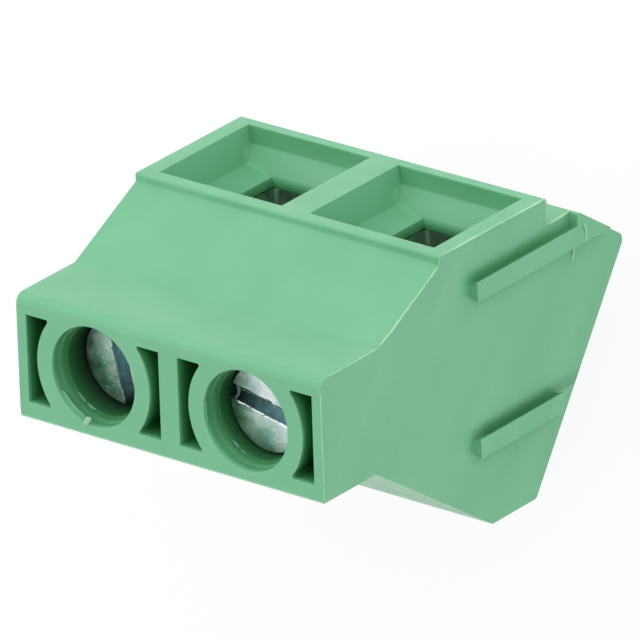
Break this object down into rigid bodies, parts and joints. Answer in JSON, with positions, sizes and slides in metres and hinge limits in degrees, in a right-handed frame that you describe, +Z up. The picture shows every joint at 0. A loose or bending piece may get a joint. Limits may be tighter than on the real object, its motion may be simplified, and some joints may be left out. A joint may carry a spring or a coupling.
{
  "type": "pcb screw terminal",
  "caption": "Oblique screw terminal for a printed circuit board: moulded housing, slotted screws that draw folded sleeves up to clamp wires against bars with solder pins.",
  "frame": {"origin": "on the seat against the board, on the row of solder pins, midway between the two poles", "axes": "+Z up from the board, +X along the row of poles towards the side with the dovetail ribs, +Y along the board, away from the screw side and towards the wire side"},
  "size_m": [0.0195, 0.0179, 0.0236],
  "materials": {
    "housing_plastic": "moulded polyamide, light mint green, satin sheen with flow marks and thin flash",
    "screw_steel": "zinc plated, rough burred slot",
    "sleeve_steel": "zinc plated folded strip",
    "bar_tinned_copper": "tin plated copper alloy strip"
  },
  "bodies": {
    "block": {"housing": "housing_plastic", "current_bar_left": "bar_tinned_copper", "current_bar_right": "bar_tinned_copper"},
    "screw_left_body": {"screw_left": "screw_steel"},
    "screw_right_body": {"screw_right": "screw_steel"},
    "sleeve_left_body": {"clamp_sleeve_left": "sleeve_steel"},
    "sleeve_right_body": {"clamp_sleeve_right": "sleeve_steel"}
  },
  "joints": [
    {"name": "screw_left_turn", "type": "hinge", "parent": "block", "child": "screw_left_body", "pos_m": [-0.00476, -0.00461, 0.01669], "axis": [0, 0.5736, -0.8192], "range_deg": [0, 2592]},
    {"name": "screw_right_turn", "type": "hinge", "parent": "block", "child": "screw_right_body", "pos_m": [0.00476, -0.0049, 0.0171], "axis": [0, 0.5736, -0.8192], "range_deg": [0, 2592]},
    {"name": "sleeve_left_slide", "type": "slide", "parent": "block", "child": "sleeve_left_body", "axis": [0, -0.5736, 0.8192], "range_m": [0, 0.0036]},
    {"name": "sleeve_right_slide", "type": "slide", "parent": "block", "child": "sleeve_right_body", "axis": [0, -0.5736, 0.8192], "range_m": [0, 0.0036]}
  ],
  "couplings": [
    {"joint": "screw_left_turn", "follows": "sleeve_left_slide", "rad_per_m": 12566},
    {"joint": "screw_right_turn", "follows": "sleeve_right_slide", "rad_per_m": 12566}
  ]
}
